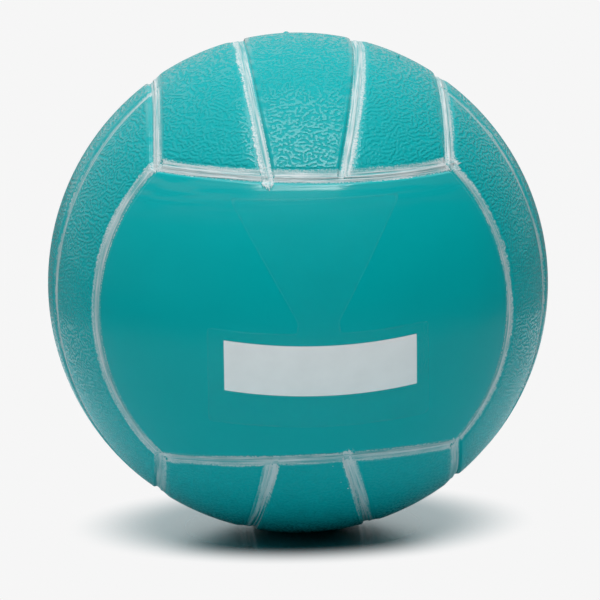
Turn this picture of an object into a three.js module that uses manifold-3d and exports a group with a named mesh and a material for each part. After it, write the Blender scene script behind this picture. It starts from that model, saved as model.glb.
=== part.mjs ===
// A moulded PVC beach ball with the eighteen-panel layout of a volleyball. One soft hollow skin carries
// the panels, with white lines painted in the grooves between them. The front face is one smooth panel
// with a clear transfer film on it, and a needle valve is set in the middle of the back face.
//
// Millimetres, +Z up. The front faces -Y, the valve points along +Y, and the origin is the middle of the
// small flat on which the soft ball lies still. Every solid is worked out about the ball's own centre.

import * as THREE from "three";
import { mergeVertices } from "three/addons/utils/BufferGeometryUtils.js";
import Module from "manifold-3d";

const wasm = await Module();
wasm.setup();

// Skin
const ballDiameter = 212; // 666 mm round, a full-size volleyball
const skinThickness = 1.8; // at a panel
const restFlattening = 0.7; // how far the skin gives where the ball lies on it

// Panels. Each face has three strips, and the middle one bulges half way along.
const stripEndWidth = 32.5; // middle strip, between its grooves' centres, at both ends
const stripMiddleWidth = 51.5; // the same, at its widest

// The mould's layout isn't quite regular. These shares of the radius say how far it strays near the front.
const frontNarrowing = 0.045; // the sides of the front panel lie closer together
const frontLowering = 0.081; // and so do its top and bottom
const frontTaper = 0.063; // more so on the right
const stripsRightward = 0.035; // the strips above and below it lie further right
const stripsUpward = 0.038; // and higher

// Grooves between the panels
const grooveMouthWidth = 6.4;
const grooveFloorWidth = 5;
const grooveDepth = 1;

// White vinyl ink in the grooves
const paintWidth = 4.6;
const paintThickness = 0.3;
const paintClearance = 0.25; // to the groove's floor, and between two painted lines

// Clear transfer film on the front panel: a label band with a tapering tab over it
const filmThickness = 0.2;
const filmClearance = 0.2; // to the skin
const filmBandWidth = 90; // these sizes are as seen from the front
const filmBandHeight = 40;
const filmBandBottom = -40; // from the ball's centre
const filmTabTopWidth = 69.5;
const filmTabNeckWidth = 14;
const filmTabTop = 51; // from the ball's centre
const filmOffset = 4.6; // to the right of the panel's middle
const filmSag = 2.4; // of the band's long edges, in their middle
const filmCornerRadius = 3;

// Needle valve: a soft housing in the skin, and the rubber core that seals itself round the needle
const valveClearance = 0.3; // between the valve's pieces, and to the skin
const valveRecess = 0.3; // of the valve's face below the skin
const neckDiameter = 11;
const padDiameter = 30; // where the skin is thicker inside, flat for the flange
const padThickness = 1.6; // beyond the skin
const flangeDiameter = 24;
const flangeThickness = 1.6;
const bossDiameter = 12.5;
const bossLength = 8; // below the flange
const coreStemDiameter = 5.8;
const coreHeadDiameter = 8.4;
const coreHeadThickness = 1.1;
const coreBulbDiameter = 8;
const coreBulbLength = 5.5;
const needleMouthDiameter = 3.2;
const needleMouthDepth = 1.8;
const needleDuctDiameter = 1.4;
const needleDuctDepth = 13; // from the core's face; the rest of the core is a closed slit

// Facets
const panelSteps = 4; // across an outer strip
const stripSteps = 6; // across the middle strip
const paintSteps = 14; // along a painted line
const hollowDetail = 6; // of the icosahedron inside the skin
const filmDetail = 11;
const filmCurveSteps = 4;
const latheSegments = 28;

const ballRadius = ballDiameter / 2;
const hollowRadius = ballRadius - skinThickness;
const grooveFloorRadius = ballRadius - grooveDepth;
const restHeight = ballRadius - restFlattening; // the ball's centre above what it lies on

// On a ball of radius 1, three faces meet at each corner (edge, edge, edge).
const edge = 1 / Math.sqrt(3);
const borderLatitude = Math.asin(edge);
const borderRadius = Math.sqrt(1 - edge * edge); // of the circle that a border lies on
const borderHalfAngle = Math.PI / 4; // from the middle of a border to a corner

const X = new THREE.Vector3(1, 0, 0);
const Y = new THREE.Vector3(0, 1, 0);
const Z = new THREE.Vector3(0, 0, 1);

// The six faces: which way each looks out, runs along its strips, and counts across them.
const faces = [
  { name: "front", out: Y.clone().negate(), along: X, across: Z, ends: ["left", "right"], sides: ["bottom", "top"] },
  { name: "back", out: Y, along: X, across: Z, ends: ["left", "right"], sides: ["bottom", "top"] },
  { name: "right", out: X, along: Z, across: Y, ends: ["bottom", "top"], sides: ["front", "back"] },
  { name: "left", out: X.clone().negate(), along: Z, across: Y, ends: ["bottom", "top"], sides: ["front", "back"] },
  { name: "top", out: Z, along: Y, across: X, ends: ["front", "back"], sides: ["left", "right"] },
  { name: "bottom", out: Z.clone().negate(), along: Y, across: X, ends: ["front", "back"], sides: ["left", "right"] },
];
const hasStrips = (face) => face.name !== "front";

// A line along a face lies in a plane. It is told by its sine of latitude half way along, and at its end
// on the face's border.
function lineThrough(middle, end) {
  const tilt = Math.atan2(middle - end, Math.sqrt(1 - middle * middle) - edge);
  const offset = end * Math.cos(tilt) - edge * Math.sin(tilt);
  return { tilt, offset };
}

// The unit vector at an angle along such a line.
function pointOnLine(face, line, angle) {
  const radius = Math.sqrt(1 - line.offset * line.offset);
  const outward = radius * Math.cos(angle);
  return new THREE.Vector3()
    .addScaledVector(face.across, line.offset * Math.cos(line.tilt) + outward * Math.sin(line.tilt))
    .addScaledVector(face.out, outward * Math.cos(line.tilt) - line.offset * Math.sin(line.tilt))
    .addScaledVector(face.along, radius * Math.sin(angle));
}

// Where a point of the regular layout lies on the ball as it is moulded. Both are unit vectors.
function asMoulded({ x, y, z }) {
  const frontness = (1 - y) / 2;
  const inward = frontness * frontness * z * (frontLowering + frontTaper * x);
  return new THREE.Vector3(
    x + frontness * (stripsRightward * z * z - frontNarrowing * x),
    y,
    z + frontness * stripsUpward * z * z - inward,
  ).normalize();
}

// The angle at which a line comes down to a height over the ball's centre, along the face's own axis.
function angleAtHeight(line, height) {
  const radius = Math.sqrt(1 - line.offset * line.offset);
  return Math.acos((height + line.offset * Math.sin(line.tilt)) / (radius * Math.cos(line.tilt)));
}

// Grid lines of a face, from its middle to one border. The same list serves along and across, so
// neighbouring faces share their vertices. end is an angle on the border, middle a latitude, and
// inGroove says whose floor the line is on.
function halfGrid() {
  const endAngle = Math.asin(stripEndWidth / ballDiameter / borderRadius);
  const middleLatitude = Math.asin(stripMiddleWidth / ballDiameter);
  const inner = (offset, inGroove) => ({
    end: endAngle + offset / (ballRadius * borderRadius),
    middle: middleLatitude + offset / ballRadius,
    inGroove,
  });
  const outer = (offset, inGroove) => {
    const height = Math.sin(borderLatitude + offset / ballRadius);
    return {
      end: Math.acos(height / borderRadius),
      middle: borderLatitude - offset / ballRadius,
      height,
      inGroove,
    };
  };
  const between = (a, b, steps) =>
    Array.from({ length: steps - 1 }, (_, i) => ({
      end: THREE.MathUtils.lerp(a.end, b.end, (i + 1) / steps),
      middle: THREE.MathUtils.lerp(a.middle, b.middle, (i + 1) / steps),
    }));
  const mouth = grooveMouthWidth / 2;
  const floor = grooveFloorWidth / 2;
  const centre = { end: 0, middle: 0 };
  const seam = [inner(-mouth), inner(-floor, "seam"), inner(floor, "seam"), inner(mouth)];
  const border = [outer(mouth), outer(floor, "border"), outer(0, "border")];
  return [
    centre,
    ...between(centre, seam[0], stripSteps / 2),
    ...seam,
    ...between(seam[3], border[0], panelSteps),
    ...border,
  ];
}

// The whole grid, from border to border, with each line's plane and signed end.
function fullGrid() {
  const half = halfGrid();
  const mouth = half[half.length - 3];
  const both = [...half.slice(1).reverse().map((line) => ({ ...line, side: -1 }))];
  half.forEach((line) => both.push({ ...line, side: 1 }));
  return both.map((line) => ({
    ...line,
    ...lineThrough(line.side * Math.sin(line.middle), line.side * borderRadius * Math.sin(line.end)),
    share: line.end / mouth.end,
    mouthHeight: mouth.height,
  }));
}

// The outside of the skin: six grids of one size, sunk where a groove's floor runs.
function skinSurface() {
  const grid = fullGrid();
  const count = grid.length;
  const positions = [];
  const indices = [];
  for (const face of faces) {
    const start = positions.length / 3;
    const sameHand = face.along.clone().cross(face.across).dot(face.out) > 0;
    for (const line of grid)
      for (const station of grid) {
        const angle = station.height
          ? angleAtHeight(line, station.height)
          : angleAtHeight(line, line.mouthHeight) * station.share;
        const sunk =
          station.inGroove === "border" ||
          line.inGroove === "border" ||
          (line.inGroove === "seam" && hasStrips(face));
        const point = asMoulded(pointOnLine(face, line, station.side * angle));
        positions.push(...point.multiplyScalar(sunk ? grooveFloorRadius : ballRadius));
      }
    for (let i = 0; i < count - 1; i++)
      for (let j = 0; j < count - 1; j++) {
        const a = start + i * count + j;
        const [b, c, d] = sameHand ? [a + 1, a + count + 1, a + count] : [a + count, a + count + 1, a + 1];
        indices.push(a, b, c, a, c, d);
      }
  }
  return closedGeometry(positions, indices);
}

function closedGeometry(positions, indices) {
  return new THREE.BufferGeometry()
    .setAttribute("position", new THREE.Float32BufferAttribute(positions, 3))
    .setIndex(indices);
}

// A three.js geometry as a solid that can be joined and cut, and back.
function solid(geometry) {
  const bare = geometry.clone().deleteAttribute("normal").deleteAttribute("uv");
  const merged = mergeVertices(bare, 1e-3);
  return new wasm.Manifold(
    new wasm.Mesh({
      numProp: 3,
      vertProperties: merged.attributes.position.array,
      triVerts: new Uint32Array(merged.index.array),
    }),
  );
}

function geometryOf(manifold) {
  const mesh = manifold.getMesh();
  return closedGeometry(mesh.vertProperties, Array.from(mesh.triVerts));
}

// A solid of revolution about the valve's axis. The profile is a list of [diameter, height over the
// ball's centre], counted up the outside and down the inside.
function turned(profile) {
  const points = profile.map(([diameter, height]) => new THREE.Vector2(diameter / 2, height));
  return new THREE.LatheGeometry([...points, points[0]], latheSegments);
}

// Heights of the valve's pieces over the ball's centre, from its face inwards
const neckBoreDiameter = neckDiameter + 2 * valveClearance;
const coreBoreDiameter = coreStemDiameter + 2 * valveClearance;
const headSeatDiameter = coreHeadDiameter + 2 * valveClearance;
const valveFace = Math.sqrt(ballRadius ** 2 - (neckBoreDiameter / 2) ** 2) - valveRecess;
const headSeat = valveFace - coreHeadThickness - valveClearance;
const padFace = hollowRadius - padThickness;
const flangeTop = padFace - valveClearance;
const flangeBottom = flangeTop - flangeThickness;
const bossEnd = flangeBottom - bossLength;
const bulbTop = bossEnd - valveClearance;
const coreEnd = bulbTop - coreBulbLength;

function ballSkin() {
  const pad = new THREE.CylinderGeometry(padDiameter / 2, padDiameter / 2, ballRadius, latheSegments);
  pad.translate(0, padFace + ballRadius / 2, 0);
  const neckBore = new THREE.CylinderGeometry(neckBoreDiameter / 2, neckBoreDiameter / 2, ballRadius, latheSegments);
  neckBore.translate(0, ballRadius, 0);
  const underRest = new THREE.BoxGeometry(ballDiameter, ballDiameter, ballDiameter);
  underRest.translate(0, 0, -restHeight - ballRadius);
  const hollow = solid(new THREE.IcosahedronGeometry(hollowRadius, hollowDetail)).subtract(solid(pad));
  const skin = solid(skinSurface()).subtract(hollow).subtract(solid(neckBore)).subtract(solid(underRest));
  return geometryOf(skin);
}

function valveHousing() {
  return turned([
    [coreBoreDiameter, bossEnd],
    [bossDiameter, bossEnd],
    [bossDiameter, flangeBottom],
    [flangeDiameter, flangeBottom],
    [flangeDiameter, flangeTop],
    [neckDiameter, flangeTop],
    [neckDiameter, valveFace],
    [headSeatDiameter, valveFace],
    [headSeatDiameter, headSeat],
    [coreBoreDiameter, headSeat],
  ]);
}

function valveCore() {
  const headUnderside = valveFace - coreHeadThickness;
  const bulbShoulder = bulbTop - coreBulbLength * 0.35;
  const mouthEnd = valveFace - needleMouthDepth;
  return new THREE.LatheGeometry(
    [
      [0, coreEnd],
      [coreStemDiameter * 0.7, coreEnd],
      [coreBulbDiameter, bulbShoulder],
      [coreBulbDiameter, bulbTop],
      [coreStemDiameter, bulbTop],
      [coreStemDiameter, headUnderside],
      [coreHeadDiameter, headUnderside],
      [coreHeadDiameter, valveFace],
      [needleMouthDiameter, valveFace],
      [needleDuctDiameter, mouthEnd],
      [needleDuctDiameter, valveFace - needleDuctDepth],
      [0, valveFace - needleDuctDepth],
    ].map(([diameter, height]) => new THREE.Vector2(diameter / 2, height)),
    latheSegments,
  );
}

// A closed strip between two radii over a grid of unit vectors of the regular layout, rows[across][along].
function curvedStrip(rows, lowRadius, highRadius) {
  const across = rows.length;
  const along = rows[0].length;
  const positions = [];
  for (const radius of [lowRadius, highRadius])
    for (const row of rows) for (const point of row) positions.push(...asMoulded(point).multiplyScalar(radius));
  const at = (layer, i, j) => (layer * across + i) * along + j;
  const indices = [];
  const quad = (a, b, c, d) => indices.push(a, b, c, a, c, d);
  for (let i = 0; i < across - 1; i++)
    for (let j = 0; j < along - 1; j++) {
      quad(at(0, i, j), at(0, i + 1, j), at(0, i + 1, j + 1), at(0, i, j + 1));
      quad(at(1, i, j), at(1, i, j + 1), at(1, i + 1, j + 1), at(1, i + 1, j));
    }
  for (let j = 0; j < along - 1; j++) {
    quad(at(0, 0, j), at(0, 0, j + 1), at(1, 0, j + 1), at(1, 0, j));
    quad(at(0, across - 1, j + 1), at(0, across - 1, j), at(1, across - 1, j), at(1, across - 1, j + 1));
  }
  for (let i = 0; i < across - 1; i++) {
    quad(at(0, i + 1, 0), at(0, i, 0), at(1, i, 0), at(1, i + 1, 0));
    quad(at(0, i, along - 1), at(0, i + 1, along - 1), at(1, i + 1, along - 1), at(1, i, along - 1));
  }
  return closedGeometry(positions, indices);
}

// A painted line on a face's line. endOf gives the angle at which a row of its points ends, from the
// row's own line and its offset from the middle.
function paintedLine(face, line, endOf) {
  const latitude = Math.asin(line.offset);
  const normal = face.across.clone().multiplyScalar(Math.cos(line.tilt));
  normal.addScaledVector(face.out, -Math.sin(line.tilt));
  const middle = face.across.clone().multiplyScalar(Math.sin(line.tilt));
  middle.addScaledVector(face.out, Math.cos(line.tilt));
  const half = paintWidth / 2;
  const sameHand = face.along.clone().cross(face.across).dot(face.out) > 0;
  const offsets = sameHand ? [-half, 0, half] : [half, 0, -half];
  const rows = offsets.map((offset) => {
    const rowLatitude = latitude + offset / ballRadius;
    const rowEnd = endOf({ tilt: line.tilt, offset: Math.sin(rowLatitude) }, offset);
    return Array.from({ length: paintSteps + 1 }, (_, i) => {
      const angle = THREE.MathUtils.lerp(-rowEnd, rowEnd, i / paintSteps);
      return new THREE.Vector3()
        .addScaledVector(normal, Math.sin(rowLatitude))
        .addScaledVector(middle, Math.cos(rowLatitude) * Math.cos(angle))
        .addScaledVector(face.along, Math.cos(rowLatitude) * Math.sin(angle));
    });
  });
  const low = grooveFloorRadius + paintClearance;
  return curvedStrip(rows, low, low + paintThickness);
}

// The two long borders of a face. Three borders meet at a corner, 120 degrees apart.
function borderLines(face) {
  const endOf = (row, offset) => {
    const mitre = Math.abs(offset) * Math.tan(Math.PI / 6);
    const cut = mitre + paintClearance / Math.sqrt(3);
    return borderHalfAngle - cut / (ballRadius * Math.sqrt(1 - row.offset ** 2));
  };
  return face.sides.map((side, i) => ({
    name: `line_${face.name}_${side}`,
    geometry: paintedLine(face, { tilt: 0, offset: i === 0 ? -edge : edge }, endOf),
  }));
}

// The two lines beside a face's middle strip, which stop short of the painted border.
function stripLines(face) {
  const stop = Math.sin(borderLatitude + (paintWidth / 2 + paintClearance) / ballRadius);
  return face.sides.map((side, i) => {
    const sign = i === 0 ? -1 : 1;
    const line = lineThrough((sign * stripMiddleWidth) / ballDiameter, (sign * stripEndWidth) / ballDiameter);
    return {
      name: `line_${face.name}_strip_${side}`,
      geometry: paintedLine(face, line, (row) => angleAtHeight(row, stop)),
    };
  });
}

// The film's outline on the front panel, seen from the front. The band's long edges sag in the middle.
function filmOutline() {
  const half = filmBandWidth / 2;
  const neck = filmTabNeckWidth / 2;
  const tab = filmTabTopWidth / 2;
  const bandTop = filmBandBottom + filmBandHeight;
  // An edge's height at x = x0 = x1, and the height of its curve's control point between x0 and x1.
  const sagging = (x0, x1, y) => y + filmSag * ((x0 * x1) / half ** 2 - 1);
  const neckHeight = sagging(neck, neck, bandTop);
  const corners = [
    { at: [-half, filmBandBottom], bend: [0, sagging(-half, half, filmBandBottom)] },
    { at: [half, filmBandBottom] },
    { at: [half, bandTop], bend: [(half + neck) / 2, sagging(half, neck, bandTop)] },
    { at: [neck, neckHeight] },
    { at: [tab, filmTabTop] },
    { at: [-tab, filmTabTop] },
    { at: [-neck, neckHeight], bend: [(-half - neck) / 2, sagging(-half, -neck, bandTop)] },
    { at: [-half, bandTop] },
  ];
  const vector = ([x, y]) => new THREE.Vector2(x + filmOffset, y);
  const outline = new THREE.Shape();
  corners.forEach((corner, i) => {
    const before = corners[(i + corners.length - 1) % corners.length];
    const after = corners[(i + 1) % corners.length];
    const middle = vector(corner.at);
    const towards = (point) => middle.clone().add(vector(point).sub(middle).setLength(filmCornerRadius));
    const enter = towards(before.bend ?? before.at);
    const leave = towards(corner.bend ?? after.at);
    if (i === 0) outline.moveTo(enter.x, enter.y);
    else if (before.bend) outline.quadraticCurveTo(...vector(before.bend).toArray(), enter.x, enter.y);
    else outline.lineTo(enter.x, enter.y);
    outline.quadraticCurveTo(middle.x, middle.y, leave.x, leave.y);
  });
  outline.closePath();
  return outline;
}

function printFilm() {
  const prism = new THREE.ExtrudeGeometry(filmOutline(), { depth: ballDiameter, bevelEnabled: false, curveSegments: filmCurveSteps });
  prism.rotateX(Math.PI / 2);
  const low = ballRadius + filmClearance;
  const shell = solid(new THREE.IcosahedronGeometry(low + filmThickness, filmDetail)).subtract(
    solid(new THREE.IcosahedronGeometry(low, filmDetail)),
  );
  return geometryOf(shell.intersect(solid(prism)));
}

const skinVinyl = new THREE.MeshStandardMaterial({ color: 0x00a0a3, roughness: 0.42, metalness: 0 });
const whiteInk = new THREE.MeshStandardMaterial({ color: 0xdfe9e9, roughness: 0.55, metalness: 0 });
const clearFilm = new THREE.MeshStandardMaterial({ color: 0x2ab0b3, roughness: 0.25, metalness: 0 });
const housingVinyl = new THREE.MeshStandardMaterial({ color: 0xe8eceb, roughness: 0.5, metalness: 0 });
const valveRubber = new THREE.MeshStandardMaterial({ color: 0x1b1b1c, roughness: 0.7, metalness: 0 });

const ball = new THREE.Group();
ball.position.z = restHeight;

function place(name, geometry, material) {
  const mesh = new THREE.Mesh(geometry, material);
  mesh.name = name;
  ball.add(mesh);
}

place("ball_skin", ballSkin(), skinVinyl);
place("valve_housing", valveHousing(), housingVinyl);
place("valve_core", valveCore(), valveRubber);
place("print_film", printFilm(), clearFilm);
for (const face of faces) {
  for (const line of borderLines(face)) place(line.name, line.geometry, whiteInk);
  if (hasStrips(face)) for (const line of stripLines(face)) place(line.name, line.geometry, whiteInk);
}

export default ball;
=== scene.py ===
"""The looks of a moulded vinyl beach ball with the eighteen-panel layout of a volleyball.

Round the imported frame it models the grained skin, the white lines brushed into its grooves, the clear film
on the front and the needle valve at the back. Shapes are worked out in millimetres about the ball's own
centre, and Solid.build() puts them in the frame.
"""

import math
from collections import namedtuple

import bmesh
import bpy
import numpy as np
from mathutils import Matrix, Vector, geometry


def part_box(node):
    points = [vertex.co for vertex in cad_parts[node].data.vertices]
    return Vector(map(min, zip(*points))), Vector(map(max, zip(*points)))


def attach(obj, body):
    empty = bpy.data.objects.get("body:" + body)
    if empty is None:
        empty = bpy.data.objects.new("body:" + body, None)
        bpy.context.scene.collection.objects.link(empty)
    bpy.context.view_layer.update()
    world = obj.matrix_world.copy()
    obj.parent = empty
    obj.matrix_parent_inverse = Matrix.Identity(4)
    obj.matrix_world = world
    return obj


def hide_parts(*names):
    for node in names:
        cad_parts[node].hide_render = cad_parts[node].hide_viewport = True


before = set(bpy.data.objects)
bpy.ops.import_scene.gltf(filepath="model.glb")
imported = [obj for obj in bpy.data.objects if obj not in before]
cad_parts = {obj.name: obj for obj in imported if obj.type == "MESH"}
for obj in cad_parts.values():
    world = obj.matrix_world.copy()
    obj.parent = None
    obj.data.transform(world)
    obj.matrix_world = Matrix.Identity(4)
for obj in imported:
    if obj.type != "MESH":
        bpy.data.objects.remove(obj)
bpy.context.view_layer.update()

MM = 0.001
X, Y, Z = np.eye(3)

skin_low, skin_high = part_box("ball_skin")
housing_low, housing_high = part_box("valve_housing")
core_low, core_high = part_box("valve_core")
BALL_RADIUS = (skin_high.x - skin_low.x) / 2 / MM
CENTRE_HEIGHT = skin_high.z / MM - BALL_RADIUS
CENTRE = Vector((0, 0, CENTRE_HEIGHT * MM))

# The panels, as in the frame. Each face has three strips, and the middle one is widest half way along.
STRIP_END_WIDTH = 32.5
STRIP_MIDDLE_WIDTH = 51.5
EDGE = 1 / math.sqrt(3)
BORDER_LATITUDE = math.asin(EDGE)
BORDER_RADIUS = math.sqrt(1 - EDGE**2)
Face = namedtuple("Face", "out along across sides")
FACES = {
    "front": Face(-Y, X, Z, ("bottom", "top")),
    "back": Face(Y, X, Z, ("bottom", "top")),
    "right": Face(X, Z, Y, ("front", "back")),
    "left": Face(-X, Z, Y, ("front", "back")),
    "top": Face(Z, Y, X, ("left", "right")),
    "bottom": Face(-Z, Y, X, ("left", "right")),
}

# The mould's layout isn't quite regular, as in the frame: shares of the radius by which it strays.
FRONT_NARROWING = 0.045
FRONT_LOWERING = 0.081
FRONT_TAPER = 0.063
STRIPS_RIGHTWARD = 0.035
STRIPS_UPWARD = 0.038

# A groove's cross-section: distances from its middle, and the depth on each side. One side has a steep
# wall up to a proud panel, the other climbs gently, and a slim rib runs along the middle.
GROOVE_STATIONS = np.array([0, 0.35, 0.65, 1.4, 2.25, 2.65, 3.0, 3.35, 3.8, 4.3, 4.7, 5.2])
STEEP_DEPTHS = np.array([0.62, 0.72, 1.0, 1.1, 1.2, 1.12, 0.55, 0.14, 0.05, 0.0, 0.045, 0])
GENTLE_DEPTHS = np.array([0.62, 0.67, 0.74, 0.66, 0.52, 0.42, 0.33, 0.23, 0.12, 0.05, 0.02, 0])

# The borders whose steep wall lies up their face's own axis across. The others have it down that axis.
STEEP_BEYOND = {"front_bottom", "back_bottom", "left_back", "right_back", "bottom_right"}

# The skin: grid steps from a face's middle to the strip line and on to the border, and its thickness
GRID_STEPS = (12, 16)
INNER_GRID_STEPS = (3, 4)
SKIN_WALL = 1.8
MAP_MARGIN = 0.004  # round each face on the texture map
MAP_OUTSIDE = 0.94  # how much of the map's height the outside takes

# Its grain: weaker underneath, and none on the smooth edges beside a groove
WORN_GRAIN = 0.7
SMOOTH_EDGES = (4.6, 3.2)  # on a steep and a gentle side
GRAIN_STARTS = (-0.6, 0.8)  # from where to where it comes in, counted from there

# Where the valve goes through the skin. A ring of the back face's grid is the bore's edge, and the next ones
# lie on circles too.
PAD_RADIUS = 15
PAD_THICKNESS = 1.6
BORE_RADIUS = 5.8
BORE_RING = 4
BORE_RADII = (BORE_RADIUS, 6.2, 7.4, 8.9, 10.6, 12.4)
BORE_ROUNDING = 0.35
INNER_BORE_RING = 1
INNER_BORE_RADII = (BORE_RADIUS * 1.25, PAD_RADIUS * 0.8)

# The mesh of a painted line
PAINT_PROFILE = ((-1.2, -0.5, -0.15, 0.6), (-0.12, -0.05, 0.035, 0.09))  # its height by how far inside it is
PAINT_STEP = 0.55  # between rows
PAINT_STEP_ACROSS = 0.38
PAINT_REACH = 4.6  # its edge, from the line's middle
PAINT_BEYOND = 1.5  # how far it goes on past the paint's ends
PAINT_EMBEDDED = 0.25  # how far its underside lies below the skin
PAINT_LAYER = 0.02  # between strokes that cross
PAINT_MAPS = ((0.01, 0.7), (0.78, 0.2))  # its two layers' starts and heights on the texture map
BRUSH_SHIFT = 3.7  # keeps the streaks of two strokes apart

# How paint is spread: pairs of a height and a wavelength, or shares
EDGE_BEADS = ((0.16, 1.3), (0.22, 3.1))
EDGE_DRIFT = (0.25, 25)
STEEP_DRIFT = 0.4  # share of the drift that the steep wall lets through
PLAIN_BEADING = 0.1
MOST_BEADING = (0.9, 0.7)  # over that, at the gentle and the steep edge
BRISTLE_SIZE = (0.9, 14)  # width and length
BRISTLE_REACH = 1.1
END_ROUNDING = 0.6
DRY_START = (0.0, 0.25)
DRY_LINE_SIZE = (0.95, 70)
WANDER = (0.2, 23)
STREAKING = (0.1, 1.6, 45)  # height, width and length
MOTTLING = (0.06, 9)
BLOT_WHITENESS = 0.3
BLOT_REACH = (2, 9)
LUMP_REACH = (2.4, 0.9)

# How white the lines are drawn across, from the gentle side to the steep one. Their peaks and dips are partly
# the paint's own thickness and partly painted highlight on the middle rib and the groove's edges, with
# painted shade beside them.
TOP_LEFT_STRIP = ((-2.9, 0.3), (-2, 0.55), (-0.9, 0.4), (0.3, 0.2), (0.8, 0.25), (1.5, 0.62), (2.3, 0.35))
TOP_RIGHT_STRIP = ((-2.9, 0.2), (-1.8, 0.45), (-0.6, 0.35), (0.4, 0.78), (1.2, 0.4), (2.3, 0.25))
FRONT_TOP = ((-3.6, 0.1), (-2.6, 0.3), (-1.5, 0.55), (-0.5, 0.75), (0.9, 0.6), (1.9, 0.85), (2.6, 0.75))
FRONT_BOTTOM = ((-3.2, 0.4), (0, 0.55), (1.2, 0.45), (1.7, 0.85), (2.1, 0.7))
PLAIN = ((-2.9, 0.2), (-1.5, 0.35), (0, 0.42), (1.3, 0.3), (1.9, 0.6), (2.3, 0.3))
TOP_BORDER = ((-2.9, 0.05), (-2, 0.25), (-0.2, 0.75), (1, 0.6), (2, 0.4), (2.4, 0.15))
BOTTOM_STRIP = ((-2.9, 0.1), (-1.4, 0.35), (0, 0.75), (1.2, 0.5), (2.1, 0.8), (3, 0.7))

# How a line was brushed. whiteness pairs places across it with how white it is there, from 0 to 1. edges says
# how far out its paint goes on its gentle and its steep side, and ends how far it runs past the line's two
# ends. lumps gives the shares of beaded paint at these edges, blots how much paint piled up at the ends, and
# dry how far the paint splits into separate bristle lines.
Stroke = namedtuple(
    "Stroke",
    "seed whiteness edges ends lumps blots dry",
    defaults=(PLAIN, (2.9, 2.3), (2, 2), (1, 0), (0.5, 0.5), 0),
)

# The brushing of the seen lines. The others are plain.
STROKES = {
    "top_strip_left": dict(whiteness=TOP_LEFT_STRIP, edges=(2.3, 2.3), ends=(6.6, 2), blots=(0.9, 0.4)),
    "top_strip_right": dict(whiteness=TOP_RIGHT_STRIP, ends=(1.8, 2), blots=(0.8, 0.4)),
    "front_top": dict(
        whiteness=FRONT_TOP, edges=(3.2, 2.6), ends=(2, 6), lumps=(0.5, 0), blots=(0.5, 1)
    ),
    "front_bottom": dict(
        whiteness=FRONT_BOTTOM, edges=(3.3, 1.5), ends=(3.2, 3), lumps=(0.3, 0), blots=(0.7, 0.6)
    ),
    "left_front": dict(edges=(3.5, 1.5), ends=(2.4, 3.4), lumps=(0.8, 0), blots=(0.2, 0.9)),
    "right_front": dict(edges=(2.8, 1.2), blots=(0.4, 0.4)),
    "bottom_left": dict(edges=(2.1, 3.2)),
    "top_left": dict(whiteness=TOP_BORDER, ends=(3.4, 2), lumps=(0.4, 0.3), blots=(0.9, 0.3)),
    "top_right": dict(whiteness=TOP_BORDER, ends=(1.8, 2), lumps=(0.6, 0.1), blots=(0.6, 0.3)),
    "bottom_strip_left": dict(
        whiteness=BOTTOM_STRIP, edges=(2.8, 3.7), ends=(1.8, 2), lumps=(0.2, 0.8), blots=(1, 0.3), dry=0.75
    ),
    "bottom_strip_right": dict(
        whiteness=BOTTOM_STRIP, edges=(2.2, 4), ends=(4.2, 2), lumps=(0.5, 0.9), blots=(1, 0.3), dry=0.5
    ),
}
PLAIN_STRIP = dict(edges=(2.9, 3.1))

# The film on the front panel, as seen from the front: a band below the ball's middle with a tapering tab over
# it, and a white plate. Levels are heights over the ball's radius, of the top and the underside.
FILM_OFFSET = 4.6
FILM_BAND = (90, 40)
FILM_TAB_TOP = 51.0
FILM_TAB_WIDTHS = (14, 69.5)
FILM_CORNERS = (2, 2, 2, 4, 2.5, 2.5, 4, 2)
FILM_SAG = 2.4
FILM_LEVELS = (0.14, 0.02)
PLATE_SIZE = (78.4, 21.2)
PLATE_TOP = -5.0
PLATE_OFFSET = 5.4
PLATE_CORNER = 0.4
PLATE_LEVELS = (0.19, 0.1)
OUTLINE_STEP = 1.5
SHEET_STEP = 2.2

# Small things on the skin: the direction, radius and height of each
NUBS = (((-0.024, 0.18, 0.983), 1.6, 0.9), ((0.41, -0.061, 0.91), 0.9, 1.0))
SPECKS = (
    ((0.096, -0.809, -0.58), 0.45, 0.12),
    ((0.104, -0.786, -0.609), 0.3, 0.1),
    ((0.112, -0.765, -0.634), 0.25, 0.1),
    ((0.129, -0.74, -0.66), 0.4, 0.12),
    ((0.15, -0.68, -0.718), 0.3, 0.1),
    ((0.157, -0.704, -0.693), 0.5, 0.14),
)
DOME_SUNK = 0.1
DOME_ROOT = 0.4

# Colours, and the grain of the vinyl. Pairs are the places and values of a ramp.
TEAL = (0.0, 0.415, 0.435)
TEAL_DEEP = (0.0, 0.385, 0.405)
INK_WHITE = (0.66, 0.74, 0.75)
INK_THIN = (0.11, 0.46, 0.48)
PLAIN_INK = (0.92, 0.95, 0.95)
SLEEVE_GREY = (0.75, 0.8, 0.8)
PLUG_BLACK = (0.02, 0.02, 0.021)
FILM_TEAL = (0.1, 0.6, 0.62)
# The rim is drawn more opaque in light teal, a painted highlight along the film's cut edge.
FILM_ALPHA_AND_RIM_HIGHLIGHT = ((0.7, 0.02), (1, 0.16))  # from the clear film to its rim
GRAIN_SCALE = 270
GRAIN_FREQUENCY = 2.2
GRAIN_RIDGES = ((0.41, 0), (0.58, 1))
GRAIN_CROWNS = ((0.48, 0), (0.56, 1))
GRAIN_HEIGHT = 0.2 * MM
VALLEY_ROUGHNESS = 0.5
CROWN_ROUGHNESS = 0.12
CROWN_GLOSS = 0.5
SMOOTH_ROUGHNESS = ((0.3, 0.2), (0.7, 0.26))
TEAL_PATCHES = 35
SMOOTH_PATCHES = 60
FINE_RELIEF = (900, 0.02 * MM)  # scale and height
SLOW_RELIEF = (45, 0.5 * MM)
VINYL_IOR = 1.2

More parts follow.
